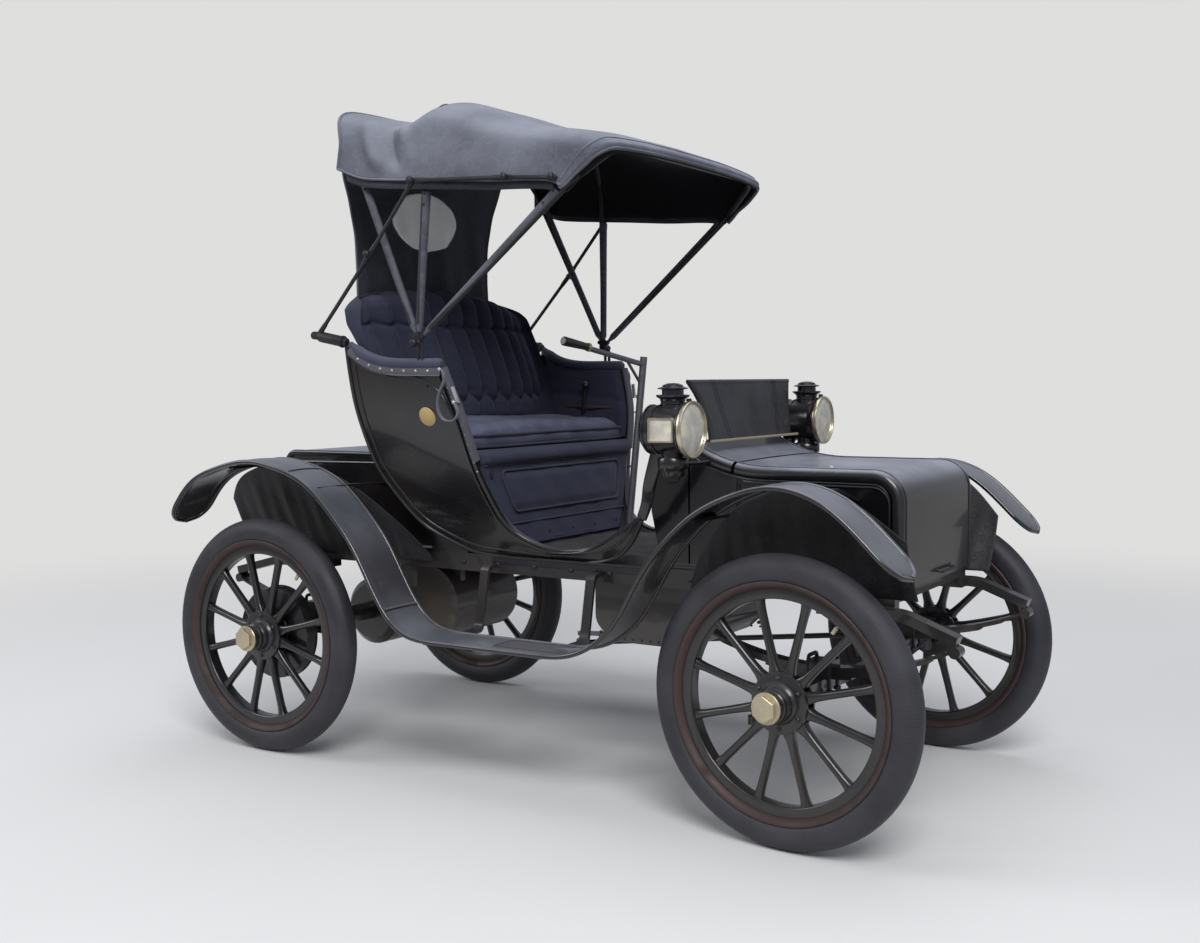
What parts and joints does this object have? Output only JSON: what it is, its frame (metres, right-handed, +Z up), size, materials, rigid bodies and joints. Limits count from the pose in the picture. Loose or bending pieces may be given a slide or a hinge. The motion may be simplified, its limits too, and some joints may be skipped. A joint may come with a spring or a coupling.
{
  "type": "brass era electric runabout",
  "caption": "Small open two-seat electric runabout of the brass era: folding leather top, side tiller, wooden artillery wheels, fenders joined by steps, box hood and side lamps.",
  "frame": {"origin": "on the ground, midway between the axles and on the car's middle plane", "axes": "+X forwards, +Y to the car's left, +Z up"},
  "size_m": [2.613, 1.3722, 2.064],
  "materials": {
    "body_paint": "aged gloss black paint",
    "chassis_paint": "dull black paint, oily and dusty",
    "rubber_tyre": "smooth grey black rubber",
    "plated_brass": "pale worn brass",
    "iron": "oily iron with rust",
    "upholstery": "dusty dark navy cloth",
    "top_leather": "dusty black leathercloth",
    "dash_leather": "shiny black leather",
    "window_sheet": "hazy translucent sheet",
    "lamp_glass": "clear old glass",
    "floor_mat": "dusty grey mat",
    "battery_case": "dark wooden battery boxes",
    "grip_wood": "black lacquered wood"
  },
  "bodies": {
    "car": {"back_curtain": "top_leather", "battery_boxes": "battery_case", "bow_front": "body_paint", "bow_middle": "body_paint", "bow_rear": "body_paint", "chassis_frame": "chassis_paint", "control_lever": "body_paint", "curtain_window": "window_sheet", "dash_board": "dash_leather", "drive_motor": "iron", "fender_aprons": "top_leather", "fender_irons": "chassis_paint", "fender_left": "body_paint", "fender_right": "body_paint", "floor_boards": "floor_mat", "front_axle": "chassis_paint", "front_springs": "chassis_paint", "grab_handles": "dash_leather", "hood_sides": "body_paint", "lamp_glasses": "lamp_glass", "lamp_left": "body_paint", "lamp_right": "body_paint", "rear_axle": "chassis_paint", "rear_deck": "body_paint", "rear_springs": "chassis_paint", "roof_cover": "top_leather", "seat_back_cushion": "upholstery", "seat_back_panel": "body_paint", "seat_cushion": "upholstery", "seat_front_panel": "upholstery", "seat_side_left": "body_paint", "seat_side_right": "body_paint", "step_pads": "floor_mat", "top_side_irons": "body_paint", "underbody_case": "iron"},
    "wheel_body_front_right": {"tyre_front_right": "rubber_tyre", "wheel_front_right": "body_paint", "hub_cap_front_right": "plated_brass"},
    "wheel_body_front_left": {"tyre_front_left": "rubber_tyre", "wheel_front_left": "body_paint", "hub_cap_front_left": "plated_brass"},
    "wheel_body_rear_right": {"tyre_rear_right": "rubber_tyre", "wheel_rear_right": "body_paint", "hub_cap_rear_right": "plated_brass"},
    "wheel_body_rear_left": {"tyre_rear_left": "rubber_tyre", "wheel_rear_left": "body_paint", "hub_cap_rear_left": "plated_brass"},
    "steer_right": {"knuckle_right": "chassis_paint"},
    "steer_left": {"knuckle_left": "chassis_paint"},
    "steer_tie": {"tie_rod": "chassis_paint"},
    "steer_link": {"drag_link": "chassis_paint"},
    "tiller_body": {"tiller": "body_paint", "tiller_grip": "grip_wood"},
    "front_lid": {"hood_lid": "body_paint"},
    "rear_lid": {"rear_deck_lid": "body_paint"}
  },
  "joints": [
    {"name": "tiller_turn", "type": "hinge", "parent": "car", "child": "tiller_body", "pos_m": [0.024, 0.252, 1.253], "axis": [0.1079, 0, 0.9942], "range_deg": [-20.4, 29.6]},
    {"name": "knuckle_right_turn", "type": "hinge", "parent": "car", "child": "steer_right", "pos_m": [0.923, -0.5, 0.381], "axis": [0, 0, 1], "range_deg": [-20.4, 29.6]},
    {"name": "knuckle_left_turn", "type": "hinge", "parent": "car", "child": "steer_left", "pos_m": [0.923, 0.5, 0.381], "axis": [0, 0, 1], "range_deg": [-20.4, 29.6]},
    {"name": "tie_rod_swing", "type": "hinge", "parent": "steer_left", "child": "steer_tie", "pos_m": [0.79342, 0.51043, 0.3], "axis": [0, 0, 1], "range_deg": [-29.6, 20.4]},
    {"name": "drag_link_swing", "type": "hinge", "parent": "tiller_body", "child": "steer_link", "pos_m": [-0.20477, 0.20182, 0.292], "axis": [0.1079, 0, 0.9942], "range_deg": [-29.6, 20.4]},
    {"name": "wheel_front_right_spin", "type": "hinge", "parent": "steer_right", "child": "wheel_body_front_right", "pos_m": [0.91674, -0.57775, 0.381], "axis": [0.0802, 0.9968, 0], "continuous": true},
    {"name": "wheel_front_left_spin", "type": "hinge", "parent": "steer_left", "child": "wheel_body_front_left", "pos_m": [0.92926, 0.57775, 0.381], "axis": [0.0802, 0.9968, 0], "continuous": true},
    {"name": "wheel_rear_right_spin", "type": "hinge", "parent": "car", "child": "wheel_body_rear_right", "pos_m": [-0.923, -0.578, 0.381], "axis": [0, 1, 0], "continuous": true},
    {"name": "wheel_rear_left_spin", "type": "hinge", "parent": "car", "child": "wheel_body_rear_left", "pos_m": [-0.923, 0.578, 0.381], "axis": [0, 1, 0], "continuous": true},
    {"name": "hood_lid_hinge", "type": "hinge", "parent": "car", "child": "front_lid", "pos_m": [0.64, 0, 0.966], "axis": [0, -1, 0], "range_deg": [0, 60]},
    {"name": "rear_deck_lid_hinge", "type": "hinge", "parent": "car", "child": "rear_lid", "pos_m": [-0.66, 0, 0.97], "axis": [0, 1, 0], "range_deg": [0, 55]}
  ],
  "couplings": [
    {"joint": "knuckle_right_turn", "follows": "tiller_turn", "ratio": 1},
    {"joint": "knuckle_left_turn", "follows": "tiller_turn", "ratio": 1},
    {"joint": "tie_rod_swing", "follows": "tiller_turn", "ratio": -1},
    {"joint": "drag_link_swing", "follows": "tiller_turn", "ratio": -1}
  ]
}
